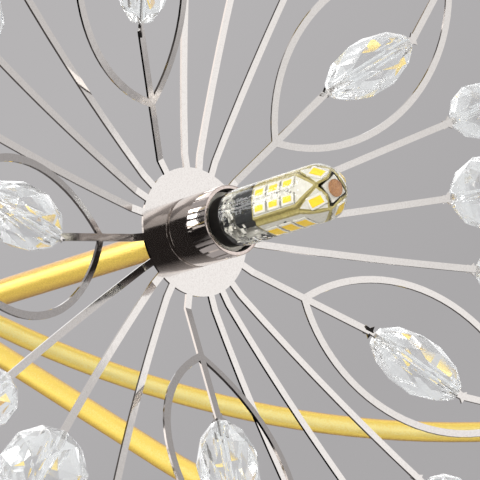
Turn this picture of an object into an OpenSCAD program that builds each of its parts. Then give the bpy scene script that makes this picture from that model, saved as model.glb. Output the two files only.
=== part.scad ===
// Twelve-light crystal chandelier: drooping tubes end in flowers of thin sheet strips with crystal beads.
// Frame: origin on the ceiling at the middle of the canopy, +Z up, the chandelier hangs below. Millimetres.

/* [Ceiling] */
// Outer diameter of the canopy
canopy_d = 140; // [124:2:180]
// Height of the canopy
canopy_h = 28; // [24:1:40]
// Wall of the canopy
canopy_wall = 1.5; // [1:0.1:3]
// Distance between the two ceiling screws
screw_span = 70; // [60:2:84]
// Width of a ceiling screw slot
slot_w = 5; // [4:0.5:6]
// Thickness of the ceiling bracket
bracket_t = 2.5; // [2:0.5:4]

/* [Stem and hub] */
// Outer diameter of the stem tube
stem_d = 14; // [12:0.5:16]
// Height from the ceiling down to the level where the arms enter the hub
hub_drop = 330; // [260:10:600]
// Outer radius of the hub
hub_r = 34; // [32:1:40]
// Height of the hub
hub_h = 36; // [35:1:44]
// Radius of the wiring chamber in the hub
chamber_r = 15; // [14:0.5:16]
// Diameter of the ball under the hub
finial_d = 22; // [16:1:30]

/* [Arms] */
// Outer diameter of the arm tube
arm_d = 8; // [7.6:0.1:8.4]
// Wall of the arm tube
arm_wall = 1; // [0.8:0.1:1.2]
// Reach of the middle arms
mid_reach = 330; // [320:5:340]
// Depth of the middle flowers below the hub level
mid_depth = 165; // [150:5:175]
// Tilt of the middle flowers above level
mid_tilt = -12; // [-14:1:-8]
// Bend radius of the middle arms
mid_bend = 184; // [160:4:210]
// Reach of the low arms
low_reach = 400; // [390:5:410]
// Depth of the low flowers below the hub level
low_depth = 222; // [214:2:230]
// Tilt of the low flowers above level
low_tilt = -13; // [-16:1:-10]
// Bend radius of the low arms
low_bend = 305; // [280:5:320]
// Reach of the high arms
high_reach = 380; // [370:5:390]
// Depth of the high flowers below the hub level
high_depth = 68; // [60:2:76]
// Tilt of the high flowers above level
high_tilt = 11; // [8:1:14]
// Bend radius of the high arms
high_bend = 375; // [350:5:390]

/* [Flower sheet] */
// Diameter of the disc in the middle of a flower
disc_d = 36; // [32:1:40]
// Thickness of the sheet
sheet_t = 0.7; // [0.5:0.1:1]
// Width of the strips
strip_w = 2; // [1.8:0.1:2.4]
// Angle between neighbouring plain strips
strip_step = 13.9; // [13:0.1:14.5]
// Turn of the flower about its own axis
flower_roll = 42.1; // [0:0.1:71]
// Rise of the plain strips where they leave the disc
strip_rise = 9.5; // [8:0.5:12]
// Bend radius of the plain strips
strip_bend = 450; // [350:10:700]
// Rise of the leaves
leaf_rise = 16.5; // [14:0.5:18]
// Length of a leaf loop
leaf_l = 76; // [70:1:80]
// Width of a leaf loop
leaf_w = 40; // [34:1:42]
// Distance from the disc centre to the point where a leaf opens
leaf_start = 38; // [36:0.5:40]

/* [Crystals] */
// Diameter of the long beads in the leaves
long_bead_d = 16; // [13:0.5:18]
// Length of the long beads
long_bead_l = 28.5; // [26:0.5:34]
// Diameter of the bead on the middle plain strip
big_bead_d = 22; // [18:0.5:23]
// Diameter of the bead on the first plain strip
first_bead_d = 16.5; // [14:0.5:18]
// Diameter of the bead on the last plain strip
last_bead_d = 16; // [14:0.5:18]
// Diameter of the hole through a bead
bead_hole_d = 2; // [1.9:0.1:2.4]

/* [Lamps] */
// Outer diameter of the lamp cup
cup_d = 19.5; // [19:0.5:22]
// Height of the lamp cup
cup_h = 16; // [16:0.5:24]
// Diameter of the lamp
lamp_d = 15.4; // [14:0.1:15.8]
// Distance from the disc to the far end of the lamp
lamp_reach = 58; // [56:1:66]

/* [Hidden] */
$fn = 64;

// Clearance of a thread or a pinned fit all round, of a loose fit, and how far a cut runs past its piece
thread_gap = 0.1;
slip_gap = 0.3;
eps = 0.5;

// Lights go round in the order middle, low, high
lights = 12;
first_turn = -50;
light_step = 360 / lights;
reaches = [mid_reach, low_reach, high_reach];
depths = [mid_depth, low_depth, high_depth];
tilts = [mid_tilt, low_tilt, high_tilt];
bends = [mid_bend, low_bend, high_bend];
tails = [96, 70, 24];
function tier(i) = (i - 1) % 3;
function turn(i) = first_turn + light_step * (i - 1);

// Arm route in its upright plane, measured out from the axis and up from the hub level
aim_r = 25;
socket_r = 21;
arm_bore = arm_d - 2 * arm_wall;
disc_back = sheet_t;
function flower_at(t) = [reaches[t], -depths[t]];
function along(a) = [cos(a), sin(a)];
function upward(a) = [-sin(a), cos(a)];
function bend_end(t) = flower_at(t) - tails[t] * along(tilts[t]);
function bend_mid(t) = bend_end(t) + bends[t] * upward(tilts[t]);
function to_mid(t) = bend_mid(t) - [aim_r, 0];
run_bite = 0.5;
run_share = 0.98;
function full_slope(t) = atan2(to_mid(t)[1], to_mid(t)[0]) - asin(bends[t] / norm(to_mid(t)));
// The slope of the straight run out of the hub, to a hundredth of a degree
function slope(t) = round(100 * full_slope(t)) / 100;
function bend_start(t) = bend_mid(t) - bends[t] * upward(slope(t));
function inner_end(t, r) = bend_start(t) - [1, tan(slope(t))] * (bend_start(t)[0] - r);
function lead_run(t, r) = (bend_start(t)[0] - r) / cos(slope(t));

// Hub, measured from the level where the arms aim at its axis
hub_low = 16;
hub_top = hub_h - hub_low;
hub_chamfer = 4;
roof_t = 6;
lead_hole_d = 4.8;
cap_plug_h = 5;
cap_flange_r = 22;
cap_flange_h = 3;
finial_neck_d = 9;
finial_neck_h = 3;
finial_sink = 1;
grub_d = 4;
grub_l = 14;
grub_r = 28;
grub_key = 2;
grub_key_depth = 2.5;
hex = 6;

// Stem, nuts, canopy and bracket
stem_wall = 1.5;
stem_gap = 1;
stem_top = bracket_t + stem_gap;
boss_r = stem_d / 2 + 3;
boss_h = 7;
locknut_r = stem_d / 2 + 4;
locknut_h = 5;
nut_r = stem_d / 2 + 6;
nut_h = 9;
nut_edge = 2;
window_w = 9;
window_h = 8;
bracket_w = 24;
bracket_end = 17;
bracket_l = screw_span + 2 * bracket_end;
slot_l = 12;
canopy_edge = 6;

// Wiring
twin_w = 3.6;
twin_t = 1.8;
splice_r = 12.5;
splice_bite = 1;
// Height of the splice, over the highest lead that comes in
splice_h = max([for (t = [0 : 2]) inner_end(t, splice_r - splice_bite)[1]]) + twin_t;
supply_w = 2.2;
supply_step = 2.7;
window_top = bracket_t + boss_h + locknut_h + stem_gap;
supply_level = window_top + window_h / 2;
supply_out = locknut_r + slip_gap + supply_w / 2;
supply_bite = 8;

// Terminal block beside the boss, short of the screw slot
block_l = 32;
block_w = 12;
block_h = 12;
block_out = supply_out + supply_w / 2 + eps;
pole_d = 3.4;
pole_step = 10;

// Lamp stack, measured out from the front of the disc
stud_d = 7;
stud_hole_d = stud_d + 2 * thread_gap;
ferrule_d = arm_d + 1.4;
ferrule_h = 2.5;
cup_wall = 1.2;
cup_floor = 3;
cup_bevel = 0.3;
cup_in_d = cup_d - 2 * cup_wall;
holder_d = cup_in_d - 2 * slip_gap;
holder_top = 13.5;
pin_gap = 9;
pin_w = 2;
pin_t = 0.8;
pin_l = 5;
slot_gap = 0.3;
slot_depth = 7;
lamp_seat = holder_top + slip_gap;
foot_h = 2.5;
foot_w = 7;
foot_l = 12.5;
jacket_start = lamp_seat + foot_h;
tip_h = 6;
tip_d = 9;
board_d = 10.6;
board_gap = 0.15;
board_short = 9;
board_end = lamp_reach - board_short;
board_sides = 8;

// Flower strips
sheet_mid = -sheet_t / 2;
disc_r = disc_d / 2;
bend_r = disc_r + 4;
root_in = 2;
root_over = 0.2;
neck_w = 1.3;
star_points = 5;
star_r = 2.1;
star_in = 1.1;
star_gap = 0.25;
star_turn = 35;
tongue_l = 7;
groups = 5;
leaf_step = 360 / groups;
// How the five leaves are set sideways and bent up further by hand, and how their long beads lean
leaf_sets = [2, -0.5, 0, -2.5, -0.5];
leaf_lifts = [9, 0.5, -1, 12, 6];
bead_leans = [-15, -12, -9, -5, -18];
// Beads on the plain strips and the radius at which each sits; the first entries stand for the leaf
bead_d = [0, first_bead_d, big_bead_d, last_bead_d];
bead_at = [0, 101, 97, 99];
// Cut of a bead: its end face, the waist between two rows of facets, and the girdle, as shares of its size
long_end = 0.36;
round_end = 0.34;
crown_d = 0.375;
crown_l = 0.35;
girdle_l = 0.12;
leaf_arc = (leaf_l * leaf_l / 4 + leaf_w * leaf_w / 4) / leaf_w;
leaf_open = (leaf_start - bend_r) / cos(leaf_rise);
leaf_mid = leaf_open + leaf_l / 2;
leaf_tip = leaf_open + leaf_l;
bead_inner = leaf_mid - long_bead_l / 2;
bead_outer = leaf_mid + long_bead_l / 2;
star_out = star_gap + star_r;

// Angle from a leaf to the strip after it; kind 0 is the leaf itself, 1 to 3 are the plain strips
function strip_lag(kind) = kind == 0 ? 0 : leaf_step / 2 + (kind - 2) * strip_step;
// Angle of a strip about the flower's axis, from the viewer's right and counter-clockwise
function strip_turn(g, kind) =
    90 + flower_roll - leaf_step * g - strip_lag(kind) + (kind == 0 ? leaf_sets[g] : 0);
// The middle of the star after a long bead, in the plane of its leaf
function far_star(g) = [bead_inner - star_out, 0] + (long_bead_l + 2 * star_out) * along(bead_leans[g]);
// Rise of a plain strip at the middle of its bead
function bead_rise(kind) = asin(sin(strip_rise) + (bead_at[kind] - bend_r) / strip_bend);
function strip_mid(a) = [bend_r, sheet_mid] + strip_bend * (upward(strip_rise) - upward(a));
function star(n, r, q) = [for (k = [0 : 2 * n - 1]) (k % 2 == 0 ? r : q) * along(180 * k / n)];

module on_light(i) {
    rotate([0, 0, turn(i)])
        translate([reaches[tier(i)], 0, -hub_drop - depths[tier(i)]])
            rotate([0, -tilts[tier(i)], 0])
                rotate([90, 0, 90])
                    children();
}

// Stands a plane drawn as out and up in the upright plane of a light
module on_route(i) {
    rotate([0, 0, turn(i)])
        translate([0, 0, -hub_drop])
            rotate([90, 0, 0])
                children();
}

// A straight run along +X, from x to x + l. It is a hair slimmer than the bend, so that it ends inside it.
// Its section's X axis points down, to the outside of the bend.
module straight_run(x, l) {
    translate([x, 0])
        rotate([90, 0, 90])
            rotate([0, 0, 180])
                linear_extrude(l) scale(run_share) children();
}

// A run along the arm route with the given section, from radius r to a place short of the disc front
module run_route(t, r, short) {
    translate(bend_mid(t)) {
        rotate([0, 0, slope(t)])
            translate([0, -bends[t]])
                straight_run(-lead_run(t, r), lead_run(t, r) + run_bite) children();
        rotate_extrude(angle = tilts[t] - slope(t), start = slope(t) - 90, $fn = 96)
            translate([bends[t], 0]) children();
        rotate([0, 0, tilts[t]])
            translate([0, -bends[t]])
                straight_run(-run_bite, run_bite + tails[t] - short) children();
    }
}

module ring(d, q) {
    difference() {
        circle(d = d);
        circle(d = q);
    }
}

module arm(i) {
    color("goldenrod")
    difference() {
        union() {
            on_route(i) run_route(tier(i), socket_r, disc_back + ferrule_h / 2) circle(d = arm_d);
            on_light(i)
                translate([0, 0, -disc_back - ferrule_h]) cylinder(d = ferrule_d, h = ferrule_h);
            on_light(i)
                translate([0, 0, -disc_back - eps]) cylinder(d = stud_d, h = eps + disc_back + cup_floor);
        }
        on_route(i) run_route(tier(i), socket_r - eps, disc_back + ferrule_h) circle(d = arm_bore);
        on_light(i) translate([0, 0, -disc_back - 2 * ferrule_h]) cylinder(d = lead_hole_d, h = lamp_reach);
    }
}

// A flat bar along +X in the plane of the sheet
module bar(x, l, w) {
    translate([x, -w / 2, -sheet_t / 2]) cube([l, w, sheet_t]);
}

// A bar of the strip's width between two points in the plane of the sheet
module link(a, b) {
    translate(a) rotate([0, 0, atan2((b - a)[1], (b - a)[0])]) bar(0, norm(b - a), strip_w);
}

module star_tab(x) {
    translate([x, 0, -sheet_t / 2]) linear_extrude(sheet_t) polygon(star(star_points, star_r, star_in));
}

// Stars that keep a bead of length l in place, and the neck that runs through it
module bead_neck(l, start, end) {
    bar(start, end - start, neck_w);
    for (s = [-1, 1]) star_tab(s * (l / 2 + star_out));
}

// The flat root of a strip, from inside the disc to the fold
module root() {
    translate([0, 0, sheet_mid]) bar(disc_r - root_in, bend_r - disc_r + root_in + root_over, strip_w);
}

module plain_strip(kind) {
    half = bead_d[kind] / 2;
    swing = bead_rise(kind) - strip_rise - asin(half / strip_bend);
    root();
    translate([bend_r, 0, sheet_mid] + strip_bend * [-sin(strip_rise), 0, cos(strip_rise)])
        rotate([90, 0, 0])
            rotate_extrude(angle = swing, start = strip_rise - 90, $fn = 96)
                translate([strip_bend, 0]) square([sheet_t, strip_w], center = true);
    on_bead(kind)
        bead_neck(2 * half, -half - 2 * star_r, half + star_out);
}

// Puts a piece with its middle at the bead and its X axis along the strip
module on_bead(kind) {
    rise = bead_rise(kind);
    place = strip_mid(rise);
    translate([place[0], 0, place[1]]) rotate([0, -rise, 0]) children();
}

// Puts a piece on leaf g, which is bent up from its fold by the rise and by its own lift
module on_leaf(g) {
    translate([bend_r, 0, sheet_mid]) rotate([0, -leaf_rise - leaf_lifts[g], 0]) children();
}

module lens(grow) {
    intersection() {
        translate([leaf_mid, leaf_arc - leaf_w / 2]) circle(r = leaf_arc + grow, $fn = 128);
        translate([leaf_mid, leaf_w / 2 - leaf_arc]) circle(r = leaf_arc + grow, $fn = 128);
    }
}

// Leans a long bead and its tongues about the middle of the star before the bead
module on_lean(g) {
    translate([bead_inner - star_out, 0, 0])
        rotate([0, 0, bead_leans[g]])
            translate([star_out - bead_inner, 0, 0]) children();
}

// A leaf: its loop, its stem to a turned star, a tongue in each end of the bead, and the link to the tip
module leaf(g) {
    root();
    on_leaf(g) {
        translate([0, 0, -sheet_t / 2])
            linear_extrude(sheet_t)
                difference() {
                    lens(strip_w / 2);
                    lens(-strip_w / 2);
                }
        bar(0, bead_inner - star_out, strip_w);
        rotate([star_turn, 0, 0]) star_tab(bead_inner - star_out);
        on_lean(g) {
            bar(bead_inner - star_out, star_out + tongue_l, neck_w);
            bar(bead_outer - tongue_l, tongue_l + star_out, neck_w);
            star_tab(bead_outer + star_out);
        }
        link(far_star(g), [leaf_tip, 0]);
    }
}

module spray(i) {
    color("lightgray")
    on_light(i)
        union() {
            translate([0, 0, -sheet_t]) linear_extrude(sheet_t) ring(disc_d, stud_hole_d);
            for (g = [0 : groups - 1]) {
                rotate([0, 0, strip_turn(g, 0)]) leaf(g);
                for (kind = [1 : 3]) rotate([0, 0, strip_turn(g, kind)]) plain_strip(kind);
            }
        }
}

// A cut bead about the X axis, drawn as rows of facets, with its hole
module bead(d, l, end_share) {
    rotate([0, 90, 0])
        rotate_extrude($fn = 48)
            polygon([
                [bead_hole_d / 2, -l / 2], [d / 2 * end_share, -l / 2], [d * crown_d, -l * crown_l],
                [d / 2, -l * girdle_l], [d / 2, l * girdle_l], [d * crown_d, l * crown_l],
                [d / 2 * end_share, l / 2], [bead_hole_d / 2, l / 2]]);
}

module crystals(i) {
    color("white")
    on_light(i)
        for (g = [0 : groups - 1]) {
            rotate([0, 0, strip_turn(g, 0)])
                on_leaf(g)
                    on_lean(g)
                        translate([leaf_mid, 0, 0]) bead(long_bead_d, long_bead_l, long_end);
            for (kind = [1 : 3])
                rotate([0, 0, strip_turn(g, kind)])
                    on_bead(kind) bead(bead_d[kind], bead_d[kind], round_end);
        }
}

module cup() {
    rotate_extrude()
        polygon([
            [stud_hole_d / 2, 0], [cup_d / 2, 0], [cup_d / 2, cup_h],
            [cup_d / 2 - cup_wall + cup_bevel, cup_h], [cup_in_d / 2, cup_h - cup_bevel],
            [cup_in_d / 2, cup_floor], [stud_hole_d / 2, cup_floor]]);
}

module lamp_cups() {
    color("dimgray")
    for (i = [1 : lights]) on_light(i) cup();
}

module holder() {
    difference() {
        translate([0, 0, cup_floor]) cylinder(d = holder_d, h = holder_top - cup_floor);
        for (s = [-1, 1])
            translate([s * pin_gap / 2, 0, holder_top - slot_depth / 2 + eps])
                cube([pin_w + 2 * slot_gap, pin_t + 2 * slot_gap, slot_depth + 2 * eps], center = true);
    }
}

module lamp_holders() {
    color("ivory")
    for (i = [1 : lights]) on_light(i) holder();
}

// Clear jacket over the board column; the foot and the column are one moulding with the pins
module lamp(i) {
    color("lightcyan")
    on_light(i) {
        rotate_extrude()
            polygon([
                [board_d / 2 + board_gap, jacket_start + board_gap], [lamp_d / 2, jacket_start + board_gap],
                [lamp_d / 2, lamp_reach - tip_h], [tip_d / 2, lamp_reach], [0, lamp_reach],
                [0, board_end + board_gap], [board_d / 2 + board_gap, board_end + board_gap]]);
        union() {
            translate([0, 0, jacket_start - eps])
                cylinder(d = board_d, h = board_end - jacket_start + eps, $fn = board_sides);
            translate([-foot_l / 2, -foot_w / 2, lamp_seat]) cube([foot_l, foot_w, foot_h]);
            for (s = [-1, 1])
                translate([s * pin_gap / 2 - pin_w / 2, -pin_t / 2, lamp_seat - pin_l])
                    cube([pin_w, pin_t, pin_l + eps]);
        }
    }
}

module hub() {
    color("gold")
    translate([0, 0, -hub_drop])
        difference() {
            rotate_extrude()
                polygon([
                    [0, -hub_low], [hub_r - hub_chamfer, -hub_low], [hub_r, -hub_low + hub_chamfer],
                    [hub_r, hub_top - hub_chamfer], [hub_r - hub_chamfer, hub_top], [0, hub_top]]);
            translate([0, 0, -hub_low - eps]) cylinder(r = chamber_r, h = hub_h - roof_t + eps);
            cylinder(d = stem_d + 2 * thread_gap, h = hub_h);
            for (i = [1 : lights]) {
                rotate([0, 0, turn(i)])
                    translate([socket_r, 0, inner_end(tier(i), socket_r)[1]])
                        rotate([0, 90 - slope(tier(i)), 0]) {
                            cylinder(d = arm_d + 2 * thread_gap, h = hub_r);
                            translate([0, 0, -socket_r / 2]) cylinder(d = lead_hole_d, h = hub_r);
                        }
                rotate([0, 0, turn(i)])
                    translate([grub_r, 0, 0]) cylinder(d = grub_d + 2 * thread_gap, h = hub_h);
            }
        }
}

module arm_screws() {
    color("darkgoldenrod")
    for (i = [1 : lights])
        rotate([0, 0, turn(i)])
            translate([grub_r, 0, -hub_drop + grub_foot(tier(i))])
                difference() {
                    cylinder(d = grub_d, h = grub_l);
                    translate([0, 0, grub_l - grub_key_depth])
                        cylinder(d = grub_key, h = grub_l, $fn = hex);
                }
}

// Height of a set screw's flat foot, just above the highest line of the arm tube under it
function grub_foot(t) = tube_top(t) + grub_d / 2 * abs(tan(slope(t))) + thread_gap;
function tube_top(t) = inner_end(t, grub_r)[1] + arm_d / 2 / cos(slope(t));

module hub_cap() {
    color("gold")
    translate([0, 0, -hub_drop - hub_low]) {
        rotate_extrude()
            polygon([
                [0, cap_plug_h], [chamber_r - thread_gap, cap_plug_h], [chamber_r - thread_gap, 0],
                [cap_flange_r, 0], [cap_flange_r, -cap_flange_h], [finial_neck_d / 2, -cap_flange_h],
                [finial_neck_d / 2, -cap_flange_h - finial_neck_h], [0, -cap_flange_h - finial_neck_h]]);
        translate([0, 0, -cap_flange_h - finial_neck_h - finial_d / 2 + finial_sink]) sphere(d = finial_d);
    }
}

module stem() {
    color("gold")
    difference() {
        translate([0, 0, -hub_drop + hub_top - roof_t])
            cylinder(d = stem_d, h = hub_drop - hub_top + roof_t - stem_top);
        translate([0, 0, -hub_drop]) cylinder(d = stem_d - 2 * stem_wall, h = hub_drop);
        translate([0, -window_w / 2, -window_top - window_h]) cube([stem_d, window_w, window_h]);
    }
}

module ceiling_bracket() {
    color("silver")
    difference() {
        union() {
            translate([-bracket_l / 2, -bracket_w / 2, -bracket_t]) cube([bracket_l, bracket_w, bracket_t]);
            translate([0, 0, -bracket_t - boss_h]) cylinder(r = boss_r, h = boss_h + eps);
        }
        translate([0, 0, -bracket_t - boss_h - eps])
            cylinder(d = stem_d + 2 * thread_gap, h = boss_h + bracket_t + 2 * eps);
        for (s = [-1, 1]) {
            translate([s * screw_span / 2 - slot_l / 2, -slot_w / 2, -bracket_t - eps])
                cube([slot_l, slot_w, bracket_t + 2 * eps]);
            for (e = [-1, 1])
                translate([s * screw_span / 2 + e * slot_l / 2, 0, -bracket_t - eps])
                    cylinder(d = slot_w, h = bracket_t + 2 * eps);
        }
    }
}

module stem_locknut() {
    color("silver")
    translate([0, 0, -bracket_t - boss_h - locknut_h])
        difference() {
            cylinder(r = locknut_r, h = locknut_h, $fn = hex);
            translate([0, 0, -eps]) cylinder(d = stem_d + 2 * thread_gap, h = locknut_h + 2 * eps);
        }
}

module terminal_block() {
    color("white")
    difference() {
        translate([block_out, -block_l / 2, -bracket_t - block_h]) cube([block_w, block_l, block_h]);
        for (k = [-1 : 1])
            translate([block_out - eps, k * pole_step, -bracket_t - block_h / 2])
                rotate([0, 90, 0]) cylinder(d = pole_d, h = block_w + 2 * eps);
    }
}

module canopy() {
    color("gold")
    translate([0, 0, -canopy_h])
        rotate_extrude($fn = 128)
            polygon([
                [stem_d / 2 + slip_gap, 0], [canopy_d / 2 - canopy_edge, 0],
                [canopy_d / 2, canopy_edge], [canopy_d / 2, canopy_h],
                [canopy_d / 2 - canopy_wall, canopy_h],
                [canopy_d / 2 - canopy_wall, canopy_edge + canopy_wall / 2],
                [canopy_d / 2 - canopy_edge - canopy_wall / 2, canopy_wall],
                [stem_d / 2 + slip_gap, canopy_wall]]);
}

module canopy_nut() {
    color("gold")
    translate([0, 0, -canopy_h - nut_h])
        rotate_extrude()
            polygon([
                [stem_d / 2 + thread_gap, 0], [nut_r - nut_edge, 0], [nut_r, nut_edge], [nut_r, nut_h],
                [stem_d / 2 + thread_gap, nut_h]]);
}

// Twin leads in the arms, a crimped splice in the hub, and three supply leads up the stem to the block
module wiring() {
    color("dimgray")
    union() {
        for (i = [1 : lights])
            on_route(i)
                run_route(tier(i), splice_r - splice_bite, -cup_floor)
                    square([twin_t, twin_w], center = true);
        translate([0, 0, -hub_drop]) cylinder(r = splice_r, h = splice_h);
        for (k = [-1 : 1]) supply_lead(k);
    }
}

// One supply lead: up the stem, out of its window, along to its pole and into it
module supply_lead(k) {
    w = supply_w;
    rise = bracket_t + block_h / 2;
    pole_y = k * pole_step;
    translate([-w / 2, k * supply_step - w / 2, -hub_drop + splice_h - splice_bite])
        cube([w, w, hub_drop - splice_h + splice_bite - supply_level + w / 2]);
    translate([-w / 2, k * supply_step - w / 2, -supply_level - w / 2]) cube([supply_out + w, w, w]);
    translate([supply_out - w / 2, min(k * supply_step, pole_y) - w / 2, -supply_level - w / 2])
        cube([w, abs(pole_y - k * supply_step) + w, w]);
    translate([supply_out - w / 2, pole_y - w / 2, -supply_level - w / 2])
        cube([w, w, supply_level - rise + w]);
    translate([supply_out - w / 2, pole_y - w / 2, -rise - w / 2])
        cube([block_out - supply_out + w / 2 + supply_bite, w, w]);
}

ceiling_bracket();
stem_locknut();
terminal_block();
canopy();
canopy_nut();
stem();
hub();
hub_cap();
arm_screws();
wiring();
lamp_cups();
lamp_holders();
arm(1);  // arm_1
arm(2);  // arm_2
arm(3);  // arm_3
arm(4);  // arm_4
arm(5);  // arm_5
arm(6);  // arm_6
arm(7);  // arm_7
arm(8);  // arm_8
arm(9);  // arm_9
arm(10);  // arm_10
arm(11);  // arm_11
arm(12);  // arm_12
spray(1);  // spray_1
spray(2);  // spray_2
spray(3);  // spray_3
spray(4);  // spray_4
spray(5);  // spray_5
spray(6);  // spray_6
spray(7);  // spray_7
spray(8);  // spray_8
spray(9);  // spray_9
spray(10);  // spray_10
spray(11);  // spray_11
spray(12);  // spray_12
crystals(1);  // crystals_1
crystals(2);  // crystals_2
crystals(3);  // crystals_3
crystals(4);  // crystals_4
crystals(5);  // crystals_5
crystals(6);  // crystals_6
crystals(7);  // crystals_7
crystals(8);  // crystals_8
crystals(9);  // crystals_9
crystals(10);  // crystals_10
crystals(11);  // crystals_11
crystals(12);  // crystals_12
lamp(1);  // lamp_1
lamp(2);  // lamp_2
lamp(3);  // lamp_3
lamp(4);  // lamp_4
lamp(5);  // lamp_5
lamp(6);  // lamp_6
lamp(7);  // lamp_7
lamp(8);  // lamp_8
lamp(9);  // lamp_9
lamp(10);  // lamp_10
lamp(11);  // lamp_11
lamp(12);  // lamp_12
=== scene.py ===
"""Finishes and fine pieces of a twelve-light crystal chandelier, built on its CAD frame."""

import bmesh
import bpy
import math
import random
from mathutils import Matrix, Vector


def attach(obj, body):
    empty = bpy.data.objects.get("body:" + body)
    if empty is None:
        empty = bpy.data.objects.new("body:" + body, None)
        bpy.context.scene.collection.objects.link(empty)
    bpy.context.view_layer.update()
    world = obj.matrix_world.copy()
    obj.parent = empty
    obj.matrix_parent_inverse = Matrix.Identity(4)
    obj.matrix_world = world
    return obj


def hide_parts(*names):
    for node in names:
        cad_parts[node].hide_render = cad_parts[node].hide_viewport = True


bl_info = {
    "name": "Crystal chandelier",
    "version": (1, 0, 0),
    "blender": (4, 5, 0),
    "location": "View3D > Sidebar > Chandelier",
    "description": "Finishes, cut crystals, lamps and stage of a crystal chandelier",
    "category": "Object",
}

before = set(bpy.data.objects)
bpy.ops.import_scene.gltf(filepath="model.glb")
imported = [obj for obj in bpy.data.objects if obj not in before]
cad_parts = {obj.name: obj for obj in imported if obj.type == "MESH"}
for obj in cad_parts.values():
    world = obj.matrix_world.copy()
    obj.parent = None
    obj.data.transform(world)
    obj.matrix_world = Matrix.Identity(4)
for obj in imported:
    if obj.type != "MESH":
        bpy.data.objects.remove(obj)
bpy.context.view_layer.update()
MM = 0.001
LEAVES = 5
LIGHTS = sorted(
    (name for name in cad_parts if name.startswith("spray_")),
    key=lambda name: int(name.split("_")[1]),
)

# Cut of a bead, as in the CAD model: lengths as shares of its length, radii as shares of its width
CROWN_L = 0.35
CROWN_R = 0.375
GIRDLE_L = 0.12
GIRDLE_R = 0.5
LONG_END = 0.36
ROUND_END = 0.34

# Lamp cup: its foot's curve is in shares of FOOT, in from the wall and up from the bottom
CUP_STEPS = 72
FOOT = 0.6 * MM
FOOT_CURVE = ((1, 0), (0.5, 0.5), (0.1, 1), (0, 1.4))
# Rolled lip of the cup, in millimetres in from a wall and down from the rim
OUTER_LIP = ((0, 0.35), (0.1, 0.1), (0.3, 0))
INNER_LIP = ((0.15, 0), (0, 0.2))
# How far down a face still counts as the rim, and how far off the inner wall as the inside
RIM_DEPTH = 0.15 * MM
SLACK = 0.1 * MM

# Slots of the finishes in a lamp's core
LAMINATE, MASK, HOUSING, PHOSPHOR, EPOXY, COPPER, TIP_PAINTED_REFLECTION = range(7)

# Light boards
CHIPS_A_ROW = 3
FIRST_CHIP = 3.4 * MM
WIDE_CHIP = 1.5 * MM
MASK_T = 0.1 * MM
BOARD_EDGE = 0.7 * MM
BOARD_TIP = 0.5 * MM
BOARD_SPECKS = 26

# Corner plates at the lamp's end, and the plates across its ends
CORNER_GAP = 0.5 * MM
CORNER_T = 0.5 * MM
CORNER_EDGE = 0.5 * MM
CORNER_CHIP = 0.5 * MM
END_PLATE = (5 * MM, 5 * MM, 0.5 * MM)
BASE_PLATE = (9 * MM, 9 * MM, 0.4 * MM)
PLATE_OUT = 0.6 * MM

# Driver: the number of small parts on its board, and of those set round it
BOARD_PARTS = 46
RING_PARTS = 110

# Clear jacket and dark collar
ROUND_STEPS = 48
DOME_L = 6.5 * MM
DOME_STEPS = 8
DOME_ROUNDNESS = 0.8
DOME_PINCH = 0.14
JACKET_EASE = 0.6 * MM
COLLAR_EASE = 0.4 * MM
COLLAR_OVERLAP = 0.2 * MM

# The middle of a noise, where nearly all of its values lie
NOISE_BAND = {"From Min": 0.3, "From Max": 0.7}

# Depths of a ray past which clear glass lets it through plainly, so that nothing ends up black
CLEAR_PAST = (("Transmission Depth", 4.5), ("Glossy Depth", 2.5), ("Is Diffuse Ray", 0.5))

# Stage, in metres: what the panels aim at, then each soft panel's place, size and radiance
STAGE_CENTRE = (0.21, -0.25, -0.5)
PANELS = {
    "panel_right": ((2.4, -1.4, -0.28), (2.5, 2.3), 0.42),
    "panel_wide": ((3.3, -1.3, 0.1), (4.4, 3.6), 0.3),
    "panel_left": ((-2.15, 0.1, 0.22), (1.2, 1.8), 5.5),
    "panel_front": ((0.2, -2.8, 0.25), (1.8, 0.9), 0.4),
    "panel_glint": ((1.46, -2.33, -1.17), (0.9, 0.9), 0.9),
    "panel_top": ((0.1, 0.5, 1.9), (3.4, 3.0), 0.8),
    "panel_back": ((-0.9, 1.4, 1.4), (2.0, 2.0), 0.8),
}
# Panels that light the matt surfaces and stay out of the mirrors: place and radiance
KEYS = {
    "panel_key": ((0.1, -2.9, 0.1), 8.0),
    "panel_low_key": ((-0.9, -2.5, -1.4), 16.0),
    "panel_under": ((0.9, -1.8, -2.4), 7.0),
}
KEY_SIZE = (1.0, 1.0)
FLOOR_R = 9.0
FLOOR_AT = -2.4
CAMERA_AT = (0.21968, -0.83024, -0.83095)
CAMERA_TURN = (120, 0, -0.445)
CAMERA_LENS = 183.75
CAMERA_SENSOR = 36.0


def mm(*values):
    """Millimetres in metres."""
    return tuple(value * MM for value in values)


def linear(hex_colour):
    """The linear red, green, blue and alpha of an sRGB hex colour."""
    parts = [int(hex_colour[k : k + 2], 16) / 255 for k in (1, 3, 5)]
    parts = [c / 12.92 if c <= 0.04045 else ((c + 0.055) / 1.055) ** 2.4 for c in parts]
    return (*parts, 1.0)


def length(name, description, value):
    """A length property; the value is in millimetres."""
    return bpy.props.FloatProperty(
        name=name, description=description, default=value * MM, min=0.0, unit="LENGTH", precision=4
    )


def angle(name, description, value):
    """An angle property; the value is in degrees."""
    return bpy.props.FloatProperty(
        name=name, description=description, default=math.radians(value), subtype="ANGLE"
    )


def angles(name, description, values):
    """An angle property for each leaf; the values are in degrees."""
    return bpy.props.FloatVectorProperty(
        name=name,
        description=description,
        default=[math.radians(value) for value in values],
        size=LEAVES,
        unit="ROTATION",
    )


def colour(name, description, value):
    """A colour property; the value is an sRGB hex colour."""
    return bpy.props.FloatVectorProperty(
        name=name,
        description=description,
        default=linear(value),
        size=4,
        min=0.0,
        max=1.0,
        subtype="COLOR",
    )


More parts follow.
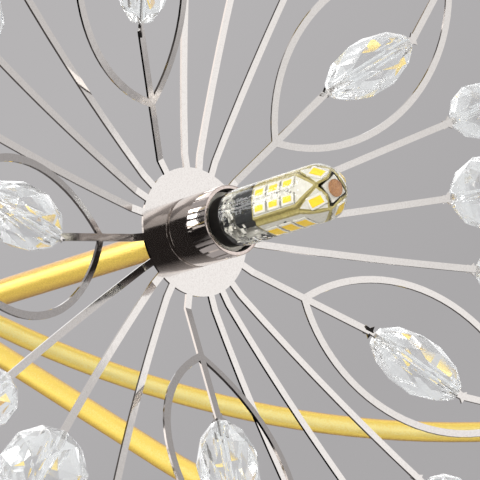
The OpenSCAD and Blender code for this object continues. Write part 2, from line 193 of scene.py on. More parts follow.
class ChandelierLayout(bpy.types.PropertyGroup):
    """Where the lights stand on the frame. The values follow the CAD model."""

    hub_drop: length("Hub drop", "Height from the ceiling down to the arms' level in the hub", 330)
    first_turn: angle("First turn", "Direction of the first light about the stem", -50)
    mid_reach: length("Middle reach", "Distance of a middle flower from the stem", 330)
    mid_depth: length("Middle depth", "Depth of a middle flower below the hub level", 165)
    mid_tilt: angle("Middle tilt", "Tilt of a middle flower above level", -12)
    low_reach: length("Low reach", "Distance of a low flower from the stem", 400)
    low_depth: length("Low depth", "Depth of a low flower below the hub level", 222)
    low_tilt: angle("Low tilt", "Tilt of a low flower above level", -13)
    high_reach: length("High reach", "Distance of a high flower from the stem", 380)
    high_depth: length("High depth", "Depth of a high flower below the hub level", 68)
    high_tilt: angle("High tilt", "Tilt of a high flower above level", 11)


class ChandelierFlower(bpy.types.PropertyGroup):
    """Where the beads sit on a flower, and their sizes. The values follow the CAD model."""

    disc_d: length("Disc diameter", "Diameter of the disc in the middle of a flower", 36)
    sheet_t: length("Sheet thickness", "Thickness of the sheet", 0.7)
    roll: angle("Roll", "Turn of the flower about its own axis", 42.1)
    strip_step: angle("Strip step", "Angle between neighbouring plain strips", 13.9)
    strip_rise: angle("Strip rise", "Rise of the plain strips where they leave the disc", 9.5)
    strip_bend: length("Strip bend", "Bend radius of the plain strips", 450)
    leaf_rise: angle("Leaf rise", "Rise of the leaves", 16.5)
    leaf_l: length("Leaf length", "Length of a leaf loop", 76)
    leaf_start: length("Leaf start", "Distance from the disc centre to where a leaf opens", 38)
    fold: length("Fold", "Distance from the edge of the disc to the fold of the strips", 4)
    long_d: length("Long bead width", "Diameter of the long bead in a leaf", 16)
    long_l: length("Long bead length", "Length of the long bead in a leaf", 28.5)
    star_out: length("Star place", "Distance from a long bead's end to its star's middle", 2.35)
    leaf_sets: angles("Leaf sets", "Sideways set of the five leaves", (2, -0.5, 0, -2.5, -0.5))
    leaf_lifts: angles("Leaf lifts", "Further rise of the five leaves", (9, 0.5, -1, 12, 6))
    bead_leans: angles("Bead leans", "Lean of the five long beads", (-15, -12, -9, -5, -18))
    first_d: length("First bead", "Diameter of the bead on the first plain strip", 16.5)
    big_d: length("Big bead", "Diameter of the bead on the middle plain strip", 22)
    last_d: length("Last bead", "Diameter of the bead on the last plain strip", 16)
    first_at: length("First bead place", "Distance of the first bead from the flower's axis", 101)
    big_at: length("Big bead place", "Distance of the middle bead from the flower's axis", 97)
    last_at: length("Last bead place", "Distance of the last bead from the flower's axis", 99)
    hole_d: length("Bead hole", "Diameter of the hole through a bead", 2)
    sides: bpy.props.IntProperty(
        name="Facets round", description="Facets round a bead", default=8, min=5, max=12
    )


class ChandelierLamp(bpy.types.PropertyGroup):
    """Sizes of the lamp cup and the plug-in lamp, measured out from the front of the disc."""

    width: length("Jacket diameter", "Diameter of the clear jacket", 15.4)
    start: length("Jacket start", "Where the clear jacket shows, out of its collar", 18.6)
    collar_start: length("Collar start", "Where the dark collar begins", 13.9)
    collar_d: length("Collar diameter", "Diameter of the dark collar in the cup", 14.2)
    reach: length("Reach", "Where the lamp ends", 58)
    board_w: length("Board width", "Width of a light board", 8.4)
    board_t: length("Board thickness", "Thickness of a light board", 1.2)
    board_start: length("Board start", "Where the light boards begin", 31.5)
    board_end: length("Board end", "Where the light boards end", 55.5)
    board_point: length("Board point", "Length of the pointed end of a light board", 7)
    chip_l: length("Chip length", "Length of a light chip", 4.6)
    chip_w: length("Chip width", "Width of a light chip", 2.7)
    window_l: length("Window length", "Length of the yellow window of a chip", 3.2)
    window_w: length("Window width", "Width of the yellow window of a chip", 1.5)
    chip_step: length("Chip step", "Distance from chip to chip along a board", 5.6)
    chip_row: length("Chip row", "Distance of a row of chips from the middle of a board", 2.0)
    roll: angle("Roll", "Turn of the lamp about its own axis", 7)
    cup_d: length("Cup diameter", "Outer diameter of the lamp cup", 19.5)
    cup_h: length("Cup height", "Height of the lamp cup", 16)
    cup_wall: length("Cup wall", "Wall of the lamp cup", 1.2)
    cup_floor: length("Cup floor", "Floor of the lamp cup", 3)
    cup_bore: length("Cup bore", "Hole in the floor of the lamp cup", 7.2)


class ChandelierColours(bpy.types.PropertyGroup):
    """Colours of the finishes and the stage."""

    # Painted highlight: pale gold laid where the lacquer faces the eye
    gold_painted_highlight: colour("Pale gold", "Gold lacquer that faces the eye", "#FFEFA0")
    gold: colour("Gold", "Lacquered tubes, hub, stem and canopy", "#FBDC6C")
    # Painted shade: deep gold laid where the lacquer is seen at a slant
    gold_painted_shade: colour("Deep gold", "Gold lacquer seen at a slant", "#B07A12")
    steel: colour("Sheet steel", "Polished sheet of the flowers", "#E3DFDB")
    steel_grain: colour("Sheet steel grain", "Mottling of the polished sheet", "#D6D1CD")
    cut_edge: colour("Cut edge", "Cut edges of the sheet", "#6E6864")
    nickel: colour("Black nickel", "Plated lamp cups", "#E2D8D2")
    rim: colour("Cup rim", "Polished rim of the lamp cups", "#DCCFC8")
    crystal: colour("Crystal", "Cut lead-free crystal", "#FBFDFE")
    silicone: colour("Silicone", "Clear jacket of the lamps", "#FEFEFB")
    phosphor: colour("Phosphor", "Light chips when off", "#EBC62E")
    laminate: colour("Laminate", "Bare edge of the light boards", "#A1965F")
    mask: colour("Board face", "White face of the light boards", "#C8C6BE")
    backdrop: colour("Backdrop", "What mirrors and crystal show of the wall", "#B0AEAF")
    tent: colour("Tent", "What crystal shows of the rest of the room", "#DCDCDC")
    dusk: colour("Dusk", "What mirrors show of the room round the camera", "#2E2C2C")
    corner: colour("Corner", "What mirrors show of the unlit corner at the left", "#1C1A1A")
    wall: colour("Wall", "Wall behind, where it is lighter", "#B6B4B5")
    wall_shade: colour("Wall shade", "Wall behind, where it is darker", "#ABA9AA")
    floor: colour("Floor", "Plain floor below", "#D2D0D0")


def add_node(tree, kind, inputs=(), **settings):
    """Adds a shader node. Inputs map socket names or numbers to values or to sockets to link."""
    made = tree.nodes.new(kind)
    for name, value in settings.items():
        setattr(made, name, value)
    for name, value in dict(inputs).items():
        if isinstance(value, bpy.types.NodeSocket):
            tree.links.new(value, made.inputs[name])
        else:
            made.inputs[name].default_value = value
    return made


def new_material(name):
    """A material without nodes, and its tree."""
    made = bpy.data.materials.new(name)
    made.use_nodes = True
    made.node_tree.nodes.clear()
    return made, made.node_tree


def surface(tree, inputs):
    """Ends a tree with a Principled surface."""
    shader = add_node(tree, "ShaderNodeBsdfPrincipled", inputs)
    add_node(tree, "ShaderNodeOutputMaterial", {"Surface": shader.outputs[0]})


def clear_surface(tree, inputs):
    """Ends a tree with clear glass that lets plain light through to what it encloses."""
    glass = add_node(tree, "ShaderNodeBsdfPrincipled", inputs)
    rays = add_node(tree, "ShaderNodeLightPath")
    plain = rays.outputs["Is Shadow Ray"]
    for path, most in CLEAR_PAST:
        past = add_node(
            tree, "ShaderNodeMath", {0: rays.outputs[path], 1: most}, operation="GREATER_THAN"
        )
        plain = add_node(
            tree, "ShaderNodeMath", {0: plain, 1: past.outputs[0]}, operation="MAXIMUM"
        ).outputs[0]
    air = add_node(tree, "ShaderNodeBsdfTransparent")
    both = add_node(tree, "ShaderNodeMixShader", {0: plain, 1: glass.outputs[0], 2: air.outputs[0]})
    add_node(tree, "ShaderNodeOutputMaterial", {"Surface": both.outputs[0]})


def grain(tree, size_mm, detail=2.0):
    """Noise on Object coordinates whose patches are about size_mm across."""
    place = add_node(tree, "ShaderNodeTexCoord").outputs["Object"]
    noise = {"Vector": place, "Scale": 1 / (size_mm * MM), "Detail": detail}
    return add_node(tree, "ShaderNodeTexNoise", noise).outputs["Fac"]


def layered(tree, base, *layers):
    """A colour with other colours laid over it one after the other, each by its own share."""
    for share, tone in layers:
        colours = {0: share, 6: base, 7: tone}
        base = add_node(tree, "ShaderNodeMix", colours, data_type="RGBA").outputs[2]
    return base


def worn(tree, gloss, low, high, relief, depth_mm, strength):
    """Inputs of a surface: roughness from low to high by one noise, relief by another."""
    rough = add_node(
        tree, "ShaderNodeMapRange", {"Value": gloss, **NOISE_BAND, "To Min": low, "To Max": high}
    )
    bump = {"Height": relief, "Distance": depth_mm * MM, "Strength": strength}
    bump = add_node(tree, "ShaderNodeBump", bump)
    return {"Roughness": rough.outputs[0], "Normal": bump.outputs[0]}


def gold_lacquer(hues):
    """Metallic gold lacquer sprayed on blasted steel.

    Painted highlight: pale gold where a tube faces the eye; painted shade: deep gold at its edges.
    """
    made, tree = new_material("gold_lacquer_on_blasted_steel")
    # Blasting leaves pits of 0.1 to 0.2 mm; they are too fine to show and are drawn at 0.45 mm
    fine = grain(tree, 0.45)
    # The lacquer's slow waves are about 14 mm long
    broad = grain(tree, 14, detail=3.0)
    # Painted highlight and painted shade, by how squarely a tube faces the eye, jittered by the
    # fine grain
    grain_jitter = add_node(
        tree, "ShaderNodeMapRange", {"Value": fine, **NOISE_BAND, "To Min": -0.1, "To Max": 0.1}
    )
    slant = add_node(tree, "ShaderNodeLayerWeight", {"Blend": 0.5}).outputs["Facing"]
    painted_light_share = add_node(
        tree, "ShaderNodeMath", {0: slant, 1: grain_jitter.outputs[0]}, operation="ADD"
    ).outputs[0]
    past_painted_highlight = add_node(tree, "ShaderNodeMapRange", {"Value": painted_light_share, "From Max": 0.22})
    # Share of the painted shade towards a tube's edges
    edge = {"Value": painted_light_share, "From Min": 0.3, "From Max": 0.85}
    edge = add_node(tree, "ShaderNodeMapRange", edge)
    lacquer = layered(
        tree, hues.gold_painted_highlight, (past_painted_highlight.outputs[0], hues.gold), (edge.outputs[0], hues.gold_painted_shade)
    )
    pits = worn(tree, broad, low=0.3, high=0.38, relief=fine, depth_mm=0.03, strength=0.5)
    surface(tree, {"Base Color": lacquer, "Metallic": 0.4, **pits})
    return made


def polished_sheet(hues):
    """Laser-cut stainless sheet with polished faces.

    To the eye it is a faintly mottled mirror with dull, dark cut edges. Its faces look away from
    the stem or back at it, and its cut edges look aside.
    """
    made, tree = new_material("polished_stainless_sheet")
    # Rolling leaves a grain of about 0.05 mm; it is too fine to show and is drawn at 0.45 mm
    fine = grain(tree, 0.45, detail=3.0)
    place = add_node(tree, "ShaderNodeTexCoord").outputs["Object"]
    level = add_node(tree, "ShaderNodeVectorMath", {0: place, 1: (1, 1, 0)}, operation="MULTIPLY")
    outward = add_node(tree, "ShaderNodeVectorMath", {0: level.outputs[0]}, operation="NORMALIZE")
    normal = add_node(tree, "ShaderNodeNewGeometry").outputs["True Normal"]
    along = add_node(
        tree, "ShaderNodeVectorMath", {0: outward.outputs[0], 1: normal}, operation="DOT_PRODUCT"
    )
    facing = add_node(tree, "ShaderNodeMath", {0: along.outputs["Value"]}, operation="ABSOLUTE")
    band = {"Value": facing.outputs[0], "From Min": 0.42, "From Max": 0.5}
    face = add_node(tree, "ShaderNodeMapRange", band)
    mottling = {"Value": fine, "From Min": 0.4, "From Max": 0.8}
    mottling = add_node(tree, "ShaderNodeMapRange", mottling)
    polish = layered(tree, hues.steel, (mottling.outputs[0], hues.steel_grain))
    sheet = layered(tree, hues.cut_edge, (face.outputs[0], polish))
    # Wiping leaves the gloss uneven in patches of 2.5 mm
    wiping = grain(tree, 2.5, detail=4.0)
    wiped = worn(tree, wiping, low=0.05, high=0.12, relief=fine, depth_mm=0.004, strength=0.5)
    surface(tree, {"Base Color": sheet, "Metallic": 1.0, **wiped})
    return made


def black_nickel(hues):
    """Black nickel plating on turned and polished brass.

    To the eye it is a brown-black mirror, as it shows the dark side of the room, with a fine haze.
    """
    made, tree = new_material("black_nickel_plate")
    # Polishing marks are about 0.02 mm wide; they are too fine to show and are drawn at 0.5 mm
    marks = grain(tree, 0.5, detail=4.0)
    haze = worn(tree, marks, low=0.05, high=0.14, relief=marks, depth_mm=0.002, strength=0.4)
    surface(tree, {"Base Color": hues.nickel, "Metallic": 1.0, **haze})
    return made


def cut_crystal(hues):
    """Lead-free crystal glass, ground and fire polished.

    To the eye it is clear, with sharp facets whose reflections waver a little.
    """
    made, tree = new_material("cut_crystal_glass")
    # Fire polishing leaves waves about 5 mm long
    wave = grain(tree, 5, detail=1.0)
    glass = {"Base Color": hues.crystal, "Transmission Weight": 0.96, "IOR": 1.54}
    waves = worn(tree, wave, low=0.03, high=0.07, relief=wave, depth_mm=0.02, strength=0.3)
    clear_surface(tree, {**glass, **waves})
    return made


def clear_silicone(hues):
    """Potting silicone cast round the boards.

    To the eye it is clear and a little wavy, like soft glass.
    """
    made, tree = new_material("cast_clear_silicone")
    # Casting leaves waves about 2.4 mm long
    wave = grain(tree, 2.4, detail=2.0)
    rubber = {"Base Color": hues.silicone, "Transmission Weight": 1.0, "IOR": 1.46}
    waves = worn(tree, wave, low=0.0, high=0.03, relief=wave, depth_mm=0.2, strength=0.8)
    clear_surface(tree, {**rubber, **waves})
    return made


def plain_matter(name, tone, shade, size_mm, roughness, bump_mm=0.01, metallic=0.0):
    """A moulded, fired, printed or plated surface.

    Its colour goes softly from tone to shade, and its gloss varies, in patches of size_mm.
    """
    made, tree = new_material(name)
    noise = grain(tree, size_mm, detail=3.0)
    patches = add_node(tree, "ShaderNodeMapRange", {"Value": noise, **NOISE_BAND})
    mottled = layered(tree, tone, (patches.outputs[0], shade))
    low, high = roughness - 0.04, roughness + 0.06
    uneven = worn(tree, noise, low, high, relief=noise, depth_mm=bump_mm, strength=0.5)
    surface(tree, {"Base Color": mottled, "Metallic": metallic, **uneven})
    return made


def coat(names, finish):
    """Gives CAD nodes a finish."""
    for name in names:
        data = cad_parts[name].data
        data.materials.clear()
        data.materials.append(finish)


def light_matrix(number):
    """Places a piece drawn about a flower's axis: Z out from the disc, Y up, X to its right."""
    plan = bpy.context.scene.chandelier_layout
    tier = ("mid", "low", "high")[(number - 1) % 3]
    reach = getattr(plan, tier + "_reach")
    depth = getattr(plan, tier + "_depth")
    tilt = getattr(plan, tier + "_tilt")
    turn = plan.first_turn + math.tau / len(LIGHTS) * (number - 1)
    return (
        Matrix.Rotation(turn, 4, "Z")
        @ Matrix.Translation((reach, 0, -plan.hub_drop - depth))
        @ Matrix.Rotation(-tilt, 4, "Y")
        @ Matrix.Rotation(math.pi / 2, 4, "Z")
        @ Matrix.Rotation(math.pi / 2, 4, "X")
    )


def keep_mesh(bm, name):
    """Makes a mesh of a bmesh, and frees the bmesh."""
    data = bpy.data.meshes.new(name)
    bm.to_mesh(data)
    bm.free()
    return data


def finish_mesh(bm, name, materials, smooth_angle=None):
    """Makes an object of a bmesh, at the origin, and frees the bmesh."""
    data = keep_mesh(bm, name)
    for one in materials:
        data.materials.append(one)
    made = bpy.data.objects.new(name, data)
    bpy.context.collection.objects.link(made)
    if smooth_angle is not None:
        data.shade_smooth()
        data.set_sharp_from_angle(angle=math.radians(smooth_angle))
    return made


def lathe(bm, profile, steps):
    """Turns a profile of (radius, height) about Z and closes it."""
    points = [bm.verts.new((r, 0, z)) for r, z in profile]
    edges = [bm.edges.new(pair) for pair in zip(points, points[1:])]
    bmesh.ops.spin(
        bm,
        geom=points + edges,
        axis=(0, 0, 1),
        cent=(0, 0, 0),
        angle=math.tau,
        steps=steps,
        use_merge=True,
    )
    bmesh.ops.remove_doubles(bm, verts=bm.verts, dist=1e-6)
    bmesh.ops.recalc_face_normals(bm, faces=bm.faces)


def block(bm, size, centre, slot, bevel=0.0, segments=1, turn=None):
    """A box with eased edges; turn is applied after it is moved to its centre."""
    verts = bmesh.ops.create_cube(bm, size=1.0)["verts"]
    bmesh.ops.scale(bm, vec=size, verts=verts)
    if bevel:
        edges = list({edge for vert in verts for edge in vert.link_edges})
        eased = bmesh.ops.bevel(
            bm,
            geom=edges,
            offset=bevel,
            segments=segments,
            profile=0.5,
            affect="EDGES",
            material=-1,
        )
        kept = {vert for vert in verts if vert.is_valid}
        verts = list({vert for face in eased["faces"] for vert in face.verts} | kept)
    for face in {face for vert in verts for face in vert.link_faces}:
        face.material_index = slot
    place = Matrix.Translation(centre)
    if turn is not None:
        place = turn @ place
    bmesh.ops.transform(bm, matrix=place, verts=verts)


def cut_bead(width, long, hole, sides, end_share):
    """A bead along X, cut in staggered rows of facets and drilled through."""
    bm = bmesh.new()
    # Each row's height, its radius and its turn as a share of a facet
    rows = (
        (-0.5, end_share / 2, 0.0),
        (-CROWN_L, CROWN_R, 0.5),
        (-GIRDLE_L, GIRDLE_R, 0.0),
        (GIRDLE_L, GIRDLE_R, 0.5),
        (CROWN_L, CROWN_R, 0.0),
        (0.5, end_share / 2, 0.5),
    )
    for height, share, phase in rows:
        bmesh.ops.create_circle(
            bm,
            segments=sides,
            radius=share * width,
            matrix=Matrix.Translation((0, 0, height * long))
            @ Matrix.Rotation(phase * math.tau / sides, 4, "Z"),
        )
    bmesh.ops.convex_hull(bm, input=bm.verts)
    bmesh.ops.dissolve_limit(bm, angle_limit=math.radians(1), verts=bm.verts, edges=bm.edges)
    ends = [face for face in bm.faces if abs(face.normal.z) > 0.99]
    if len(ends) != 2:
        raise RuntimeError("a bead has %d end faces" % len(ends))
    border = end_share * width / 2 * math.cos(math.pi / sides) - hole / 2
    bmesh.ops.inset_individual(bm, faces=ends, thickness=border)
    rims = [edge for face in ends for edge in face.edges]
    bmesh.ops.delete(bm, geom=ends, context="FACES_ONLY")
    bmesh.ops.bridge_loops(bm, edges=rims)
    bmesh.ops.recalc_face_normals(bm, faces=bm.faces)
    bmesh.ops.transform(bm, matrix=Matrix.Rotation(math.pi / 2, 4, "Y"), verts=bm.verts)
    return keep_mesh(bm, "bead_pattern")


def long_bead_place(flower, leaf):
    """Places the long bead of a leaf, which points along X from the flower's axis."""
    fold = flower.disc_d / 2 + flower.fold
    along = (flower.leaf_start - fold) / math.cos(flower.leaf_rise) + flower.leaf_l / 2
    arm = flower.long_l / 2 + flower.star_out
    return (
        Matrix.Translation((fold, 0, -flower.sheet_t / 2))
        @ Matrix.Rotation(-flower.leaf_rise - flower.leaf_lifts[leaf], 4, "Y")
        @ Matrix.Translation((along - arm, 0, 0))
        @ Matrix.Rotation(flower.bead_leans[leaf], 4, "Z")
        @ Matrix.Translation((arm, 0, 0))
    )


def round_bead_place(flower, radius):
    """Places a bead at a radius on a plain strip, which points along X from the flower's axis."""
    fold = flower.disc_d / 2 + flower.fold
    rise = math.asin(math.sin(flower.strip_rise) + (radius - fold) / flower.strip_bend)
    climb = flower.strip_bend * (math.cos(flower.strip_rise) - math.cos(rise))
    place = Matrix.Translation((radius, 0, climb - flower.sheet_t / 2))
    return place @ Matrix.Rotation(-rise, 4, "Y")


def bead_places(flower):
    """The matrix and the kind of every bead of a flower; kind 0 is the long one in a leaf."""
    radii = (0, flower.first_at, flower.big_at, flower.last_at)
    leaf_step = math.tau / LEAVES
    places = []
    for leaf in range(LEAVES):
        for kind, radius in enumerate(radii):
            if kind:
                lag = leaf_step / 2 + (kind - 2) * flower.strip_step
                place = round_bead_place(flower, radius)
            else:
                lag = -flower.leaf_sets[leaf]
                place = long_bead_place(flower, leaf)
            turn = math.pi / 2 + flower.roll - leaf_step * leaf - lag
            places.append((Matrix.Rotation(turn, 4, "Z") @ place, kind))
    return places


class CHANDELIER_OT_gold(bpy.types.Operator):
    """Finish the canopy, stem, hub and arms in gold lacquer"""

    bl_idname = "chandelier.gold"
    bl_label = "Gold frame"

    def execute(self, context):
        names = ["canopy", "canopy_nut", "stem", "hub", "hub_cap"]
        names += ["arm_%d" % number for number in range(1, len(LIGHTS) + 1)]
        coat(names, gold_lacquer(context.scene.chandelier_colours))
        return {"FINISHED"}


class CHANDELIER_OT_flowers(bpy.types.Operator):
    """Finish the flowers of strips in polished stainless steel"""

    bl_idname = "chandelier.flowers"
    bl_label = "Steel flowers"

    def execute(self, context):
        coat(LIGHTS, polished_sheet(context.scene.chandelier_colours))
        return {"FINISHED"}


def turned_cup(bm, lamp, light):
    """A turned lamp cup: eased foot, plain wall, rolled lip with a polished rim, black inside as
    painted shade.
    """
    outer, height = lamp.cup_d / 2, lamp.cup_h
    inner = outer - lamp.cup_wall
    bore, base = lamp.cup_bore / 2, lamp.cup_floor
    profile = [(bore, 0)]
    profile += [(outer - inward * FOOT, up * FOOT) for inward, up in FOOT_CURVE]
    profile += [(outer - inward * MM, height - down * MM) for inward, down in OUTER_LIP]
    profile += [(inner + outward * MM, height - down * MM) for outward, down in INNER_LIP]
    profile += [(inner, base), (bore, base), (bore, 0)]
    cup = bmesh.new()
    lathe(cup, profile, CUP_STEPS)
    plating, rim, inside = range(3)
    for face in cup.faces:
        middle = face.calc_center_median()
        away = math.hypot(middle.x, middle.y)
        if middle.z > height - RIM_DEPTH:
            face.material_index = rim
        # Painted shade: the inner wall and floor take the black of the inside
        elif away < inner + SLACK and middle.z > SLACK:
            face.material_index = inside
        else:
            face.material_index = plating
    bmesh.ops.transform(cup, matrix=light, verts=cup.verts)
    data = keep_mesh(cup, "cup_pattern")
    bm.from_mesh(data)
    bpy.data.meshes.remove(data)


class CHANDELIER_OT_fittings(bpy.types.Operator):
    """Finish the cups, holders, wiring, bracket and screws"""

    bl_idname = "chandelier.fittings"
    bl_label = "Cups and fittings"

    def execute(self, context):
        hues = context.scene.chandelier_colours
        lamp = context.scene.chandelier_lamp
        finishes = [
            black_nickel(hues),
            # Nickel buffed bright: a pale ring round the mouth of the cup
            plain_matter("polished_nickel_rim", hues.rim, linear("#C9BAB2"), 0.8, 0.12, 0.004, 1.0),
            # Painted shade: near black inside the cup, where it swallows the light
            plain_matter("cup_inside_painted_shade", linear("#0D0C0C"), linear("#171615"), 1.5, 0.5),
        ]
        cups = bmesh.new()
        for number in range(1, len(LIGHTS) + 1):
            turned_cup(cups, lamp, light_matrix(number))
        cups = finish_mesh(cups, "plated_lamp_cups", finishes, 30)
        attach(cups, "fixture")
        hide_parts("lamp_cups")

        # Unglazed fired steatite: a dull warm white
        ceramic = ("steatite_ceramic", "#EDE8DE", "#DCD5C8", 1.2, 0.55, 0.03, 0.0)
        # Extruded silicone rubber: a soft grey white with little shine
        insulation = ("silicone_lead_insulation", "#D6D2CA", "#C4BFB5", 2.0, 0.45, 0.01, 0.0)
        # Zinc plating: a cool grey mirror, clouded by its crystals
        zinc = ("zinc_plated_steel", "#C2C5C8", "#A9ADB2", 3.0, 0.3, 0.01, 1.0)
        # Moulded nylon: an even off-white with a slight sheen
        nylon = ("moulded_nylon", "#F0EFEA", "#E4E2DB", 1.5, 0.4, 0.01, 0.0)
        for names, (name, tone, shade, *rest) in (
            (["lamp_holders"], ceramic),
            (["wiring"], insulation),
            (["ceiling_bracket", "stem_locknut", "arm_screws"], zinc),
            (["terminal_block"], nylon),
        ):
            coat(names, plain_matter(name, linear(tone), linear(shade), *rest))
        return {"FINISHED"}


class CHANDELIER_OT_crystals(bpy.types.Operator):
    """Cut the crystal beads of every flower"""

    bl_idname = "chandelier.crystals"
    bl_label = "Cut crystals"

    def execute(self, context):
        flower = context.scene.chandelier_flower
        glass = cut_crystal(context.scene.chandelier_colours)
        sizes = [(flower.long_d, flower.long_l, LONG_END)]
        sizes += [(d, d, ROUND_END) for d in (flower.first_d, flower.big_d, flower.last_d)]
        patterns = [
            cut_bead(width, long, flower.hole_d, flower.sides, end) for width, long, end in sizes
        ]
        places = bead_places(flower)
        for number in range(1, len(LIGHTS) + 1):
            bm = bmesh.new()
            light = light_matrix(number)
            for place, kind in places:
                before = len(bm.verts)
                bm.from_mesh(patterns[kind])
                bm.verts.ensure_lookup_table()
                bmesh.ops.transform(bm, matrix=light @ place, verts=bm.verts[before:])
            piece = finish_mesh(bm, "cut_crystals_%d" % number, [glass])
            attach(piece, "fixture")
            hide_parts("crystals_%d" % number)
        for pattern in patterns:
            bpy.data.meshes.remove(pattern)
        return {"FINISHED"}


def plate(bm, outline, back, edge):
    """A plate with a raised white face inside its bare edge; back runs from its front inwards."""
    front = bm.faces.new([bm.verts.new(point) for point in outline])
    slab = bmesh.ops.extrude_face_region(bm, geom=[front], use_keep_orig=True)
    far = [v for v in slab["geom"] if isinstance(v, bmesh.types.BMVert)]
    bmesh.ops.translate(bm, vec=back, verts=far)
    faces = list({face for vert in list(front.verts) + far for face in vert.link_faces})
    bmesh.ops.recalc_face_normals(bm, faces=faces)
    bmesh.ops.inset_individual(bm, faces=[front], thickness=edge)
    bmesh.ops.translate(bm, vec=back.normalized() * -MASK_T, verts=list(front.verts))
    front.material_index = MASK


def light_chip(bm, lamp, growth, place):
    """A white chip with its yellow window, facing -Y on its place; growth widens both."""
    housing_t, housing_out, ease = mm(0.7, 0.4, 0.12)
    window_t, window_out = mm(0.12, 0.78)
    housing = (lamp.chip_w + growth, housing_t, lamp.chip_l)
    window = (lamp.window_w + growth, window_t, lamp.window_l + growth / 2)
    block(bm, housing, (0, -housing_out, 0), HOUSING, ease, turn=place)
    block(bm, window, (0, -window_out, 0), PHOSPHOR, turn=place)


def light_board(bm, lamp, side):
    """One light board with its bare edge, white face, chips, their pads and small parts.

    The boards of sides 0 and 2 have one row of wide chips, and the others two rows of narrow ones.
    """
    half = lamp.board_w / 2
    face_at = half + lamp.board_t
    start, end = lamp.board_start, lamp.board_end
    shoulder = end - lamp.board_point
    turn = Matrix.Rotation(side * math.pi / 2 + lamp.roll, 4, "Z")
    outline = (
        (-half, start),
        (half, start),
        (half, shoulder),
        (BOARD_TIP, end),
        (-BOARD_TIP, end),
        (-half, shoulder),
    )
    outline = [turn @ Vector((x, -face_at, z)) for x, z in outline]
    plate(bm, outline, turn.to_3x3() @ Vector((0, lamp.board_t, 0)), BOARD_EDGE)

    wide = side % 2 == 0
    growth = WIDE_CHIP if wide else 0.0
    pad_t, pad_l, pad_out = mm(0.2, 0.4, 0.15)
    for x in (0,) if wide else (-lamp.chip_row, lamp.chip_row):
        for step in range(CHIPS_A_ROW):
            z = start + FIRST_CHIP + step * lamp.chip_step
            light_chip(bm, lamp, growth, turn @ Matrix.Translation((x, -face_at, z)))
            for end_side in (-1, 1):
                at = (x, -face_at - pad_out, z + end_side * (lamp.chip_l + pad_l) / 2)
                block(bm, (lamp.chip_w, pad_t, pad_l), at, COPPER, turn=turn)

    # Small parts, in millimetres: from the narrowest to the widest and the shortest to the longest
    widths, lengths = (0.25, 0.9), (0.25, 1.1)
    speck_t, speck_out, clear = mm(0.24, 0.1, 0.6)
    spread = 0.9
    pick = random.Random(side)
    for _ in range(BOARD_SPECKS):
        size = [pick.uniform(*widths) * MM, speck_t, pick.uniform(*lengths) * MM]
        x = pick.uniform(-spread, spread) * (half - BOARD_EDGE)
        z = pick.uniform(start + clear, shoulder)
        slot = pick.choice((EPOXY, COPPER, HOUSING))
        block(bm, size, (x, -face_at - speck_out, z), slot, turn=turn)


def corner_plate(bm, lamp, side):
    """A kite-shaped plate with one chip, between the points of two boards at the lamp's end."""
    face_at = lamp.board_w / 2 + lamp.board_t
    # The kite's low corner stands out past the boards, and its top lies over their points
    bulge, over, chip_share = 1.2, 0.2, 0.78
    low = lamp.board_end - lamp.board_point + 0.4 * MM
    corner = Vector((0, -face_at * bulge, low))
    half = face_at / math.sqrt(2)
    apex = Vector((0, -half, lamp.board_end))
    aside = Vector((half - CORNER_GAP, 0, 0))
    run = apex - corner
    turn = Matrix.Rotation((side + 0.5) * math.pi / 2 + lamp.roll, 4, "Z")
    lean = Matrix.Rotation(-math.atan2(run.y, run.z), 4, "X")
    outline = (corner, apex + aside, apex + over * run, apex - aside)
    back = turn.to_3x3() @ lean.to_3x3() @ Vector((0, CORNER_T, 0))
    plate(bm, [turn @ point for point in outline], back, CORNER_EDGE)
    place = turn @ Matrix.Translation(corner + chip_share * run) @ lean
    light_chip(bm, lamp, CORNER_CHIP, place)


